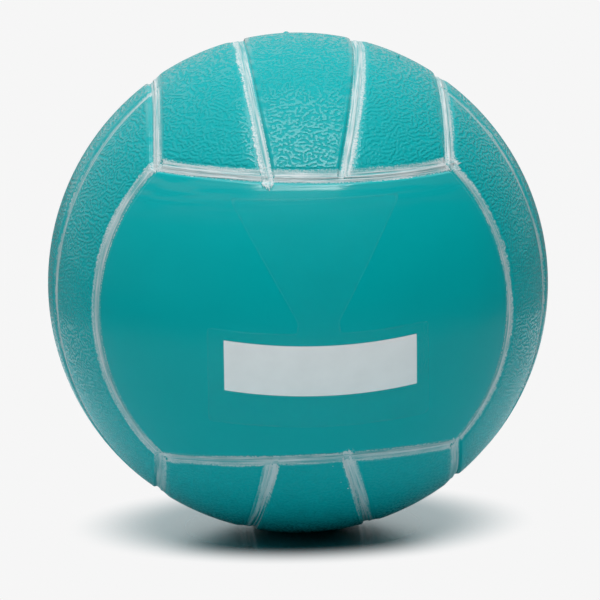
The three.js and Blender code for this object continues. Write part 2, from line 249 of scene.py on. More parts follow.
# The smooth panel was wiped from side to side near its top.
WIPED_SCALE = (14, 60, 420)
WIPED_HEIGHTS = ((0.146, 0), (0.157, 1))
WIPED_ROUGHNESS = ((0.35, 0.16), (0.65, 0.3))
WIPED_GLOSS = ((0.42, 0.95), (0.58, 0))

# The streaks of the ink: how fine they are along and across, and how strong
WIDE_STREAKS = (0.03, 1.3)
FINE_STREAKS = (0.09, 3.2)
WIDE_STRENGTH = 3.2
FINE_STRENGTH = 2.2
BEAD_SCALE = 1300
BEAD_STRENGTH = 2.2
INK_RELIEF = (2500, 0.02 * MM)
INK_HEIGHT = 0.14 * MM
INK_ROUGHNESS = 0.42

# The table, with the ball's shadow painted on it, and the pale background
BACKGROUND = 0.922
FLOOR_RADIUS = 6.0
# The first stops paint the ball's shadow onto the table in dark teal, standing in for its shade and its teal
# reflection.
FLOOR_TONES_AND_PAINTED_SHADOW = (
    (0.015, (0.02, 0.3, 0.34)),
    (0.04, (0.07, 0.48, 0.54)),
    (0.065, (0.34, 0.58, 0.63)),
    (0.11, (0.6, 0.78, 0.82)),
    (0.28, (0.86, 0.93, 0.96)),
    (0.4, (0.86, 0.93, 0.96)),
    (0.55, (0.12, 0.125, 0.13)),
)  # the ball's deep shadow, the table and the dark room, by how far out they are
POLISH = 0.64  # share of the table that mirrors
POLISH_ROUGHNESS = 0.26
POLISH_COLOUR = (0.8, 0.9, 0.92)
SHADOW_FADE = (0.058, 0.102)  # where the table turns plain to the camera
SHADOW_SHAPE = (1, 1.27, 1)  # what this distance is stretched by
SHADOW_MIDDLE = (0, -0.005, 0)

# Light: an even part, a share from each of some directions, and a softbox over the ball
EVEN_LIGHT = 0.03
SKY = (
    ((0, 0, 1), 0.2, 0.38),
    ((-1, 0, 0.2), 0.1, 0.27),
    ((0, 1, 0.2), 0.1, 0.6),
)
SOFTBOX_ELEVATION = 80  # in degrees, on the camera's side
SOFTBOX_DISTANCE = 1.2
SOFTBOX_SIZE = (0.8, 1.3)
SOFTBOX_WATTS = 13.5
SOFTBOX_FALL = (1.9, 0.1)  # its share of light, from its front end to its far one

# The camera stands well back and a little above the ball, and is turned by a degree in its own view.
CAMERA_DISTANCE = 20 * BALL_RADIUS * MM
CAMERA_TURN = 0.033
CAMERA_PITCH = 0.181
CAMERA_ROLL = -0.018
BALL_IN_PICTURE = (298, 282.5)
BALL_PIXELS = 250
PICTURE_PIXELS = 600
SENSOR = 36
FAR_CLIP = 50


class Line:
    """A groove's middle line: an arc on the ball, in a plane tilted about its face's own direction."""

    def __init__(self, name, face, tilt, offset, end_angle, steep_side):
        self.name = name
        self.normal = math.cos(tilt) * face.across - math.sin(tilt) * face.out
        self.middle = math.sin(tilt) * face.across + math.cos(tilt) * face.out
        self.along = face.along
        self.latitude = math.asin(offset)
        self.arc_radius = BALL_RADIUS * math.cos(self.latitude)
        self.half_length = self.arc_radius * end_angle
        self.steep_side = steep_side

    def measure(self, points):
        """Distances of unit vectors across the line, and their plain distances from it with its ends."""
        latitude = np.arcsin(np.clip(points @ self.normal, -1, 1))
        across = BALL_RADIUS * (latitude - self.latitude) * self.steep_side
        along = np.arctan2(points @ self.along, points @ self.middle) * self.arc_radius
        return across, np.hypot(across, np.maximum(np.abs(along) - self.half_length, 0))

    def point(self, across, along):
        """The unit vector so far across towards the steep side, and along from the line's middle."""
        latitude = self.latitude + across * self.steep_side / BALL_RADIUS
        angle = along / self.arc_radius
        ring = np.cos(latitude)[..., None]
        outward = np.cos(angle)[..., None] * self.middle + np.sin(angle)[..., None] * self.along
        return np.sin(latitude)[..., None] * self.normal + ring * outward


def plane_through(middle, end):
    """Tilt and offset of a line's plane, from its sine of latitude half way along and at its end."""
    tilt = np.arctan2(middle - end, np.sqrt(1 - middle**2) - EDGE)
    return tilt, end * np.cos(tilt) - EDGE * np.sin(tilt)


def angle_at_height(tilt, offset, height):
    """Where a line comes down to a height along its face's own axis."""
    radius = np.sqrt(1 - offset**2)
    return np.arccos((height + offset * np.sin(tilt)) / (radius * np.cos(tilt)))


def make_lines():
    lines = []
    for name, face in FACES.items():
        for sign, side in zip((-1, 1), face.sides):
            label = f"{name}_{side}"
            steep = 1 if label in STEEP_BEYOND else -1
            lines.append(Line(label, face, 0, sign * EDGE, math.pi / 4, steep))
            if name != "front":
                middle = sign * STRIP_MIDDLE_WIDTH / 2 / BALL_RADIUS
                end = sign * STRIP_END_WIDTH / 2 / BALL_RADIUS
                tilt, offset = plane_through(middle, end)
                reach = angle_at_height(tilt, offset, EDGE)
                lines.append(Line(f"{name}_strip_{side}", face, tilt, offset, reach, -sign))
    return lines


LINES = make_lines()


def ripples(points, wavelength, seed, count=36):
    """Even noise of one wavelength over points in millimetres, mostly within -1 to 1."""
    rng = np.random.default_rng(seed)
    directions = rng.normal(size=(count, 3))
    directions /= np.linalg.norm(directions, axis=1)[:, None]
    phases = rng.uniform(0, 2 * math.pi, count)
    total = np.zeros(points.shape[:-1])
    for direction, phase in zip(directions, phases):
        total += np.cos(points @ direction * (2 * math.pi / wavelength) + phase)
    return total * math.sqrt(1 / count)


def smoothstep(low, high, value):
    t = np.clip((value - low) / (high - low), 0, 1)
    return t * t * (3 - 2 * t)


def mirrored(stations):
    """Distances on both sides of a middle, from those on one side."""
    return np.concatenate([-stations[:0:-1], stations])


def groove_depth(points):
    """How far the skin's outside is sunk at unit vectors, by the deepest groove there."""
    depth = np.zeros(points.shape[:-1])
    for line in LINES:
        across, distance = line.measure(points)
        steep = np.interp(distance, GROOVE_STATIONS, STEEP_DEPTHS)
        gentle = np.interp(distance, GROOVE_STATIONS, GENTLE_DEPTHS)
        depth = np.maximum(depth, np.where(across > 0, steep, gentle))
    return depth


def as_moulded(points):
    """Where unit vectors of the regular layout lie on the ball as it is moulded."""
    x, y, z = np.moveaxis(points, -1, 0)
    frontness = (1 - y) / 2
    inward = frontness**2 * z * (FRONT_LOWERING + FRONT_TAPER * x)
    moved_x = x + frontness * (STRIPS_RIGHTWARD * z**2 - FRONT_NARROWING * x)
    moved_z = z + frontness * STRIPS_UPWARD * z**2 - inward
    moved = np.stack([moved_x, y, moved_z], axis=-1)
    return moved / np.linalg.norm(moved, axis=-1, keepdims=True)


def skin_surface(points, raised=0.0):
    """Unit vectors of the layout set on the skin's outside, or so far above it, and flat where it lies."""
    placed = as_moulded(points) * (BALL_RADIUS - groove_depth(points) + raised)[..., None]
    placed[..., 2] = np.maximum(placed[..., 2], -CENTRE_HEIGHT)
    return placed


def inner_surface(points):
    """Unit vectors set on the skin's plain inside, with the pad round the valve."""
    placed = points * (BALL_RADIUS - SKIN_WALL)
    from_valve = np.arccos(np.clip(points @ Y, -1, 1)) * BALL_RADIUS
    return placed - PAD_THICKNESS * (from_valve < PAD_RADIUS)[..., None] * Y


def add_object(name, data):
    """An object in the scene with this data."""
    added = bpy.data.objects.new(name, data)
    bpy.context.scene.collection.objects.link(added)
    return added


class Solid:
    """Points in millimetres and faces, gathered for one piece, with values for a point attribute."""

    def __init__(self):
        self.points, self.faces, self.uvs, self.values, self.count = [], [], [], [], 0

    def add(self, points, faces, uvs, values=0.0):
        """Takes points, and faces with their corners' places on the piece's texture map."""
        points = np.asarray(points, float).reshape(-1, 3)
        self.points.append(points)
        self.values.append(np.broadcast_to(np.reshape(values, -1), len(points)))
        self.faces += [[self.count + i for i in face] for face in faces]
        self.uvs += [uvs[i] for face in faces for i in face]
        self.count += len(points)
        return self

    def build(self, name, material, merge=False, attribute=None):
        points, values = np.concatenate(self.points), np.concatenate(self.values)
        faces = self.faces
        if merge:
            rounded = np.round(points, 3)
            _, first, inverse = np.unique(rounded, axis=0, return_index=True, return_inverse=True)
            inverse = inverse.reshape(-1).tolist()
            used, faces = only_used([[inverse[i] for i in face] for face in faces])
            points, values = points[first[used]], values[first[used]]
        mesh = bpy.data.meshes.new(name)
        mesh.from_pydata((points * MM + np.array(CENTRE)).tolist(), [], faces)
        layer = mesh.uv_layers.new(name="OFBake")
        layer.data.foreach_set("uv", np.array(self.uvs, np.float32).reshape(-1))
        mesh.polygons.foreach_set("use_smooth", [True] * len(mesh.polygons))
        mesh.materials.append(material)
        piece = add_object(name, mesh)
        if attribute:
            add_attribute(piece, attribute, values)
        return piece


def only_used(faces):
    """The numbers of the points that faces use, and the faces with only those points counted."""
    used = sorted({i for face in faces for i in face})
    renumber = {old: new for new, old in enumerate(used)}
    return used, [[renumber[i] for i in face] for face in faces]


def add_attribute(piece, name, values):
    """Gives each point a number or a vector under this name."""
    kind, key = ("FLOAT_VECTOR", "vector") if np.ndim(values) > 1 else ("FLOAT", "value")
    attribute = piece.data.attributes.new(name, kind, "POINT")
    attribute.data.foreach_set(key, np.asarray(values, np.float32).reshape(-1))


def grid_faces(rows, columns, flip=False):
    """The quads of a grid of points, listed row by row."""
    i, j = np.meshgrid(np.arange(rows - 1), np.arange(columns - 1), indexing="ij")
    a = (i * columns + j).reshape(-1)
    quads = np.stack([a, a + 1, a + columns + 1, a + columns], axis=1)
    return quads[:, ::-1] if flip else quads


def half_grid(strip_steps, panel_steps, stations):
    """Grid lines from a face's middle to its border: angle on the border, latitude half way, and height."""
    end_angle = math.asin(STRIP_END_WIDTH / 2 / BALL_RADIUS / BORDER_RADIUS)
    middle_latitude = math.asin(STRIP_MIDDLE_WIDTH / 2 / BALL_RADIUS)
    seam_offsets = mirrored(stations)
    border_offsets = stations[::-1] / BALL_RADIUS
    heights = np.sin(BORDER_LATITUDE + border_offsets)
    border_ends = np.arccos(np.minimum(heights / BORDER_RADIUS, 1))

    def row(seams, borders):
        """Values across the strip, the seam's groove, the outer strip and the border's groove."""
        strip = seams[0] * np.arange(strip_steps) / strip_steps
        panel = seams[-1] + (borders[0] - seams[-1]) * np.arange(1, panel_steps) / panel_steps
        return np.concatenate([strip, seams, panel, borders])

    ends = row(end_angle + seam_offsets / (BALL_RADIUS * BORDER_RADIUS), border_ends)
    middles = row(middle_latitude + seam_offsets / BALL_RADIUS, BORDER_LATITUDE - border_offsets)
    no_heights = np.full(len(ends) - len(heights), np.nan)
    return ends, middles, np.concatenate([no_heights, heights]), border_ends[0], heights[0]


def face_grid(face, steps, stations):
    """Unit vectors over a face, from border to border both ways. Neighbours share their outer points."""
    ends, middles, heights, mouth_end, mouth_height = half_grid(*steps, stations)
    count = len(ends)
    side = np.concatenate([-np.ones(count - 1), np.ones(count)])
    order = np.abs(np.arange(1 - count, count))
    ends, middles, heights = ends[order], middles[order], heights[order]
    planes = plane_through(side * np.sin(middles), side * BORDER_RADIUS * np.sin(ends))
    tilt, offset = (values[:, None] for values in planes)
    inner = angle_at_height(tilt, offset, mouth_height) * (ends / mouth_end)
    outer = angle_at_height(tilt, offset, np.nan_to_num(heights, nan=mouth_height))
    angle = side * np.where(np.isnan(heights), inner, outer)
    radius = np.sqrt(1 - offset**2)
    outward = radius * np.cos(angle)
    across = offset * np.cos(tilt) + outward * np.sin(tilt)
    out = outward * np.cos(tilt) - offset * np.sin(tilt)
    along = radius * np.sin(angle)
    across, out, along = across[..., None], out[..., None], along[..., None]
    return across * face.across + out * face.out + along * face.along


def rings_from_middle(size):
    """Each grid point's ring about the middle, and its angle on that ring, evenly spaced."""
    step = np.arange(size) - size // 2
    di, dj = np.meshgrid(step, step, indexing="ij")
    ring = np.maximum(np.abs(di), np.abs(dj))
    k = np.maximum(ring, 1)
    eighth = math.pi / 4
    angle = np.select(
        [dj == ring, di == ring, dj == -ring],
        [di / k * eighth, 2 * eighth - dj / k * eighth, 4 * eighth - di / k * eighth],
        6 * eighth + dj / k * eighth,
    )
    return ring, angle


def round_bore(points, face, radii, first_ring):
    """Moves the rings about a face's middle onto circles, and back to the grid further out."""
    ring, angle = rings_from_middle(len(points))
    last = first_ring + len(radii)
    for k in range(first_ring, last):
        here = ring == k
        reach = radii[k - first_ring] / BALL_RADIUS
        sideways = np.cos(angle[here])[:, None] * face.along
        sideways = sideways + np.sin(angle[here])[:, None] * face.across
        circle = math.cos(reach) * face.out + math.sin(reach) * sideways
        weight = 1 - smoothstep(first_ring + 1, last, k)
        mixed = weight * circle + (1 - weight) * points[here]
        points[here] = mixed / np.linalg.norm(mixed, axis=1)[:, None]
    return points


def face_map(points, face):
    """Places on a face's own square map, nearly even over the face."""
    out = points @ face.out
    angles = [np.arctan2(points @ way, out) for way in (face.along, face.across)]
    return (np.stack(angles, axis=-1) / (math.pi / 2) + 0.5).reshape(-1, 2)


def add_shell(solid, inside):
    """Adds the skin's grooved outside or its plain inside. Returns the rim of its hole for the valve."""
    for index, (name, face) in enumerate(FACES.items()):
        if inside:
            points = face_grid(face, INNER_GRID_STEPS, np.array([0.0, GROOVE_STATIONS[-1]]))
            radii, rim_ring = INNER_BORE_RADII, INNER_BORE_RING
            cell = np.array([index / len(FACES), MAP_OUTSIDE])
            cell_size = np.array([1 / len(FACES), 1 - MAP_OUTSIDE])
        else:
            points = face_grid(face, GRID_STEPS, GROOVE_STATIONS)
            radii, rim_ring = BORE_RADII, BORE_RING
            cell = np.array([index % 3 / 3, index // 3 * MAP_OUTSIDE / 2])
            cell_size = np.array([1 / 3, MAP_OUTSIDE / 2])
        if name == "back":
            points = round_bore(points, face, radii, rim_ring)
        placed = inner_surface(points) if inside else skin_surface(points)
        mirror_image = np.dot(np.cross(face.along, face.across), face.out) < 0
        faces = grid_faces(len(points), len(points), mirror_image != inside)
        if name == "back":
            ring, angle = rings_from_middle(len(points))
            at_rim = ring == rim_ring
            if not inside:
                placed[at_rim] -= BORE_ROUNDING * face.out
            faces = faces[ring.reshape(-1)[faces].max(1) > rim_ring]
            rim = placed[at_rim][np.argsort(angle[at_rim] % (2 * math.pi))]
        uvs = cell + MAP_MARGIN + face_map(points, face) * (cell_size - 2 * MAP_MARGIN)
        solid.add(placed, faces.tolist(), uvs, 0.0 if inside else grain_share(points))
    return rim


def make_skin(material):
    """The one-piece hollow skin: grooved outside, plain inside, and a bore for the valve."""
    solid = Solid()
    rim = add_shell(solid, inside=False)
    inner_rim = add_shell(solid, inside=True)
    add_bore_wall(solid, rim, inner_rim)
    return solid.build("ball_skin_moulding", material, merge=True, attribute="grain")


def add_bore_wall(solid, rim, inner_rim):
    """The bore's wall from the outer rim in, and the ring of faces from there to the inner surface."""
    foot = rim.copy()
    foot[:, 1] = inner_rim[:, 1].mean()
    count, inner_count = len(rim), len(inner_rim)
    share = count // inner_count
    faces = []
    for i in range(count):
        j = (i + 1) % count
        faces.append([i, j, count + j, count + i])
        inner_i, inner_j = (2 * count + (k + share // 2) // share % inner_count for k in (i, i + 1))
        faces.append([count + i, count + j, inner_i])
        if inner_i != inner_j:
            faces.append([count + j, inner_j, inner_i])
    points = np.concatenate([rim, foot, inner_rim])
    reach = np.hypot(points[:, 0], points[:, 2])
    spread = points[:, [0, 2]] / reach.max() * MAP_MARGIN
    solid.add(points, faces, spread + np.array([0.5, MAP_OUTSIDE + MAP_MARGIN / 2]))


def grain_share(points):
    """1 where the strips carry their grain, 0 on the front panel and on the smooth edges beside grooves."""
    front = (points[..., 1] < -EDGE) & (np.abs(points[..., 2]) < EDGE)
    worn = WORN_GRAIN * smoothstep(0, EDGE, -points[..., 2])
    mask = np.where(front, 0.0, 1 - worn)
    for line in LINES:
        across, distance = line.measure(points)
        smooth_to = np.where(across > 0, *SMOOTH_EDGES)
        mask *= smoothstep(*(smooth_to + start for start in GRAIN_STARTS), distance)
    return mask


def streaks(across, along, width, length, seed):
    """Noise drawn out along a line."""
    flat = np.stack([across / width, along / length, 0 * across], -1)
    return ripples(flat, 1, seed)


def paint_inside(line, stroke, across, along, points):
    """How far inside the painted area a place is, in millimetres. Below zero it is outside."""
    beads = 0
    for number, (height, wavelength) in enumerate(EDGE_BEADS):
        beads = beads + height * ripples(points, wavelength, stroke.seed + number)
    drift = EDGE_DRIFT[0] * ripples(points, EDGE_DRIFT[1], stroke.seed + 2)
    gentle_beading, steep_beading = (
        PLAIN_BEADING + most * lumps for most, lumps in zip(MOST_BEADING, stroke.lumps)
    )
    to_gentle = stroke.edges[0] + across + gentle_beading * beads + drift
    to_steep = stroke.edges[1] - across + steep_beading * beads + drift * STEEP_DRIFT
    past = np.where(along > 0, along - stroke.ends[1], -along - stroke.ends[0]) - line.half_length
    bristles = BRISTLE_REACH * streaks(across, along, *BRISTLE_SIZE, stroke.seed + 3)
    to_end = 0.5 * (bristles - past - 0.4 - END_ROUNDING * np.abs(across))
    nearest = np.minimum(np.minimum(to_steep, to_gentle), to_end)
    running_dry = stroke.dry * smoothstep(*DRY_START, (along / line.half_length + 1) / 2)
    gaps = running_dry * (1.1 + 1.6 * streaks(across, along, *DRY_LINE_SIZE, stroke.seed + 6))
    return np.minimum(nearest, 0.9) - np.maximum(gaps, 0)


def paint_whiteness(line, stroke, across, along, points):
    """How white the paint is drawn from 0 to 1, with painted highlight and shade across, before the fine
    streaks of its material.
    """
    places, values = zip(*stroke.whiteness)
    wander = WANDER[0] * np.cos(along / WANDER[1] + stroke.seed)
    white = np.interp(across + wander, places, values)
    white = white + STREAKING[0] * streaks(across, along, *STREAKING[1:], stroke.seed + 4)
    white = white + MOTTLING[0] * ripples(points, MOTTLING[1], stroke.seed + 5)
    return white + BLOT_WHITENESS * blot_share(line, stroke, along)


def blot_share(line, stroke, along):
    """How much the paint has piled up near a line's ends."""
    at_start = stroke.blots[0] * (1 - smoothstep(*BLOT_REACH, along + line.half_length))
    at_stop = stroke.blots[1] * (1 - smoothstep(*BLOT_REACH, line.half_length - along))
    return at_start + at_stop


def lump_share(line, stroke, across, along):
    """Where the paint is beaded and not drawn out in streaks."""
    far, near = LUMP_REACH
    gentle, steep = stroke.edges
    from_gentle = stroke.lumps[0] * smoothstep(-gentle + far, -gentle + near, across)
    from_steep = stroke.lumps[1] * smoothstep(steep - far, steep - near, across)
    return np.clip(from_gentle + from_steep + blot_share(line, stroke, along), 0, 1)


def make_painted_line(line, stroke, material):
    corners = mirrored(GROOVE_STATIONS)
    fill = np.arange(-PAINT_REACH, PAINT_REACH, PAINT_STEP_ACROSS)
    fill = fill[np.abs(fill[:, None] - corners[None]).min(1) > PAINT_STEP_ACROSS * 0.4]
    columns = np.sort(np.concatenate([fill, corners]))
    start = -line.half_length - stroke.ends[0] - PAINT_BEYOND
    stop = line.half_length + stroke.ends[1] + PAINT_BEYOND
    rows = np.linspace(start, stop, int((stop - start) / PAINT_STEP) + 1)
    along, across = np.meshgrid(rows, columns, indexing="ij")
    unit = line.point(across, along)
    points = unit * BALL_RADIUS
    inside = paint_inside(line, stroke, across, along, points)
    top = skin_surface(unit, np.interp(inside, *PAINT_PROFILE) + stroke.seed % 3 * PAINT_LAYER)
    under = skin_surface(unit, -PAINT_EMBEDDED)
    number = np.arange(along.size).reshape(along.shape)
    edge = np.concatenate([number[0], number[1:, -1], number[-1, -2::-1], number[-2:0:-1, 0]])
    following = np.roll(edge, -1)
    walls = np.stack([following, edge, edge + along.size, following + along.size], axis=1)
    faces = grid_faces(*along.shape)
    every_face = np.concatenate([faces, faces[:, ::-1] + along.size, walls])
    if np.cross(unit[0, 1] - unit[0, 0], unit[1, 0] - unit[0, 0]) @ unit[0, 0] < 0:
        every_face = every_face[:, ::-1]
    u = (along - start) / (stop - start)
    v = (across - columns[0]) / (columns[-1] - columns[0])
    uvs = [np.stack([u, v * height + low], -1).reshape(-1, 2) for low, height in PAINT_MAPS]
    solid = Solid().add([top, under], every_face.tolist(), np.concatenate(uvs))
    piece = solid.build(f"paint_{line.name}", material)
    white = paint_whiteness(line, stroke, across, along, points)
    lumps = lump_share(line, stroke, across, along)
    shift = np.full(along.shape, stroke.seed * BRUSH_SHIFT)
    add_attribute(piece, "paint", [np.stack([white, inside, lumps], -1)] * 2)
    add_attribute(piece, "brush", [np.stack([along, across, shift], -1)] * 2)
    return piece


def corner_curve(before, corner, after, radius, count):
    """Points of a curve that takes a corner off."""
    enter = corner + (before - corner) / np.linalg.norm(before - corner) * radius
    leave = corner + (after - corner) / np.linalg.norm(after - corner) * radius
    return [(1 - t) ** 2 * enter + 2 * t * (1 - t) * corner + t**2 * leave for t in np.linspace(0, 1, count)]


def rounded_outline(corners, radii):
    """Points round a closed outline whose corners are rounded, at most OUTLINE_STEP apart."""
    corners = np.array(corners, float)
    outline = []
    for i, (corner, radius) in enumerate(zip(corners, radii)):
        outline += corner_curve(corners[i - 1], corner, corners[(i + 1) % len(corners)], radius, 7)
    dense = []
    for start, stop in zip(outline, outline[1:] + outline[:1]):
        steps = max(1, math.ceil(np.linalg.norm(stop - start) / OUTLINE_STEP))
        dense += [start + (stop - start) * k / steps for k in range(steps)]
    return np.array(dense)


def triangulated(outline):
    """Points and faces that fill an outline."""
    low, high = outline.min(0), outline.max(0)
    grid = np.stack(np.meshgrid(*[np.arange(a, b, SHEET_STEP) for a, b in zip(low, high)]), -1)
    grid = grid.reshape(-1, 2) + SHEET_STEP / 2
    near = np.linalg.norm(grid[:, None] - outline[None], axis=2).min(1) < SHEET_STEP * 0.4
    points = [Vector(p) for p in np.concatenate([outline, grid[~near]])]
    flat, _, faces, *_ = geometry.delaunay_2d_cdt(points, [], [list(range(len(outline)))], 1, 1e-4)
    used, faces = only_used(faces)
    return np.array([tuple(p) for p in flat])[used], faces


def make_sheet(name, outline, levels, material):
    """A thin sheet laid on the front of the ball. Its outline is as seen from the front."""
    flat, faces = triangulated(outline)
    depth = np.sqrt(1 - (flat**2).sum(1) / BALL_RADIUS**2)
    unit = np.stack([flat[:, 0] / BALL_RADIUS, -depth, flat[:, 1] / BALL_RADIUS], 1)
    count = len(unit)
    edges = dict.fromkeys((a, b) for face in faces for a, b in zip(face, face[1:] + face[:1]))
    rim = [(a, b) for a, b in edges if (b, a) not in edges]
    every_face = faces + [[i + count for i in face[::-1]] for face in faces]
    every_face += [[b, a, a + count, b + count] for a, b in rim]
    uv = (flat - outline.min(0)) / np.ptp(outline, axis=0).max() * 0.49 + 0.005
    points = [unit * (BALL_RADIUS + level) for level in levels]
    piece = Solid().add(points, every_face, [*uv, *uv + [0.495, 0]]).build(name, material)
    at_rim = np.zeros(2 * count)
    at_rim[[i for edge in rim for i in edge]] = 1
    add_attribute(piece, "rim", at_rim)
    broad_faces = len(faces) * 2
    piece.data.polygons.foreach_set("use_smooth", [i < broad_faces for i in range(len(every_face))])
    piece.data.set_sharp_from_angle(angle=math.radians(40))
    return piece


def make_front_sheet(name, corners, radii, offset, levels, material):
    """The film or the plate. The long edges of their bands sag in the middle."""
    outline = rounded_outline(corners, radii)
    half_width = max(x for x, _ in corners)
    outline[:, 0] += offset
    in_band = outline[:, 1] < 0.5
    outline[in_band, 1] += FILM_SAG * (((outline[in_band, 0] - offset) / half_width) ** 2 - 1)
    return make_sheet(name, outline, levels, material)


def make_film(material):
    half, neck, tab = FILM_BAND[0] / 2, FILM_TAB_WIDTHS[0] / 2, FILM_TAB_WIDTHS[1] / 2
    corners = [
        (-half, -FILM_BAND[1]), (half, -FILM_BAND[1]), (half, 0), (neck, 0),
        (tab, FILM_TAB_TOP), (-tab, FILM_TAB_TOP), (-neck, 0), (-half, 0),
    ]  # fmt: skip
    return make_front_sheet("clear_film", corners, FILM_CORNERS, FILM_OFFSET, FILM_LEVELS, material)


def make_plate(material):
    half, bottom = PLATE_SIZE[0] / 2, PLATE_TOP - PLATE_SIZE[1]
    corners = [(-half, bottom), (half, bottom), (half, PLATE_TOP), (-half, PLATE_TOP)]
    radii = (PLATE_CORNER,) * 4
    return make_front_sheet("blank_white_plate", corners, radii, PLATE_OFFSET, PLATE_LEVELS, material)


def make_domes(name, spots, material, rings=5, segments=14):
    """Low domes that stand on the skin, with their undersides just below it."""
    angles = np.arange(segments) * 2 * math.pi / segments
    reach = np.linspace(0, 1, rings + 1)[1:, None]
    around = np.stack([np.cos(angles), np.sin(angles)], -1)
    uvs = np.concatenate([(reach[..., None] * around).reshape(-1, 2), [[0, 0], [0, 0]]])
    last = (rings - 1) * segments
    tip, foot = last + segments, last + segments + 1
    faces = []
    for i in range(segments):
        j = (i + 1) % segments
        faces.append([tip, i, j])
        faces += [[a + i, a + segments + i, a + segments + j, a + j] for a in range(0, last, segments)]
        faces.append([last + i, foot, last + j])
    solid = Solid()
    for index, (direction, radius, height) in enumerate(spots):
        out = np.array(direction) / np.linalg.norm(direction)
        sideways = np.cross(out, X)
        sideways /= np.linalg.norm(sideways)
        level = BALL_RADIUS + height * np.cos(reach * math.pi / 2) - DOME_SUNK
        flat = np.cos(angles)[:, None] * sideways + np.sin(angles)[:, None] * np.cross(out, sideways)
        points = (reach * radius)[..., None] * flat + level[..., None] * out
        ends = [(BALL_RADIUS + height - DOME_SUNK) * out, (BALL_RADIUS - DOME_ROOT) * out]
        points = np.concatenate([points.reshape(-1, 3), ends])
        solid.add(points, faces, (uvs * 0.45 + [0.5 + index, 0.5]) / [len(spots), 1])
    return solid.build(name, material)


def rounded_profile(profile, radius):
    """A turned piece's profile with its corners rounded. Corners with a third value take that radius."""
    points = [np.array(p[:2], float) for p in profile]
    rounded = [points[0]]
    for before, point, after, corner in zip(points, points[1:], points[2:], profile[1:]):
        size = corner[2] if len(corner) > 2 else radius
        size = min(size, np.linalg.norm(before - point) / 2.1, np.linalg.norm(after - point) / 2.1)
        rounded += corner_curve(before, point, after, size, 6)
    return np.array(rounded + [points[-1]])


def make_turned(name, profile, material, radius=0.25, segments=96):
    """A piece turned about the valve's axis, from pairs of radius and height over the ball's centre."""
    outline = rounded_profile(profile, radius)
    count = len(outline)
    angles = np.arange(segments) * 2 * math.pi / segments
    turns = zip(np.cos(angles), np.sin(angles))
    points = [[(away * cos, height, away * sin) for away, height in outline] for cos, sin in turns]
    lengths = np.concatenate([[0], np.cumsum(np.linalg.norm(np.diff(outline, axis=0), axis=1))])
    uv = np.stack(np.meshgrid(np.arange(segments) / segments, lengths / lengths[-1], indexing="ij"), -1)
    faces = []
    for i in range(segments):
        here, there = i * count, (i + 1) % segments * count
        faces += [[here + k, here + k + 1, there + k + 1, there + k] for k in range(count - 1)]
    piece = Solid().add(points, faces, uv.reshape(-1, 2) * 0.99).build(name, material, merge=True)
    mesh = bmesh.new()
    mesh.from_mesh(piece.data)
    bmesh.ops.dissolve_degenerate(mesh, dist=1e-7, edges=mesh.edges)
    bmesh.ops.recalc_face_normals(mesh, faces=mesh.faces)
    mesh.to_mesh(piece.data)
    mesh.free()
    piece.data.set_sharp_from_angle(angle=math.radians(35))
    return piece


def valve_profiles():
    """The valve's housing and its core, each from its inner end outwards."""
    face = housing_high.y / MM
    clearance = 0.3
    lip = 0.35
    flange_radius = (housing_high.x - housing_low.x) / 2 / MM
    flange_top = BALL_RADIUS - SKIN_WALL - PAD_THICKNESS - clearance
    flange_bottom = flange_top - 1.6
    boss_end = housing_low.y / MM
    boss_radius = 6.25
    neck_radius = 5.5
    head_radius = (core_high.x - core_low.x) / 2 / MM
    head_bottom = face - 1.1
    seat = head_bottom - clearance
    seat_radius = head_radius + clearance
    stem_radius = 2.9
    bore_radius = stem_radius + clearance
    bulb_radius = 4
    bulb_top = boss_end - clearance
    core_end = core_low.y / MM
    mouth_radius = 0.7
    mouth_end = face - 13
    housing = [
        (bore_radius, boss_end), (boss_radius, boss_end), (boss_radius, flange_bottom, 1.0),
        (flange_radius, flange_bottom), (flange_radius, flange_top), (neck_radius, flange_top),
        (neck_radius, face), (seat_radius + lip, face), (seat_radius, face - lip),
        (seat_radius, seat), (bore_radius, seat), (bore_radius, boss_end),
    ]  # fmt: skip
    core = [
        (0, core_end), (stem_radius * 0.7, core_end, 0.8), (bulb_radius, bulb_top - 1.9, 0.6),
        (bulb_radius, bulb_top), (stem_radius, bulb_top), (stem_radius, head_bottom),
        (head_radius, head_bottom), (head_radius, face, 0.45), (2.6, face), (1.6, face - 0.5, 0.4),
        (mouth_radius, face - 1.8, 0.5), (mouth_radius, mouth_end), (0, mouth_end),
    ]  # fmt: skip
    return housing, core


def rgba(colour):
    """A colour or a grey with its alpha."""
    return (colour, colour, colour, 1) if isinstance(colour, (int, float)) else (*colour, 1)


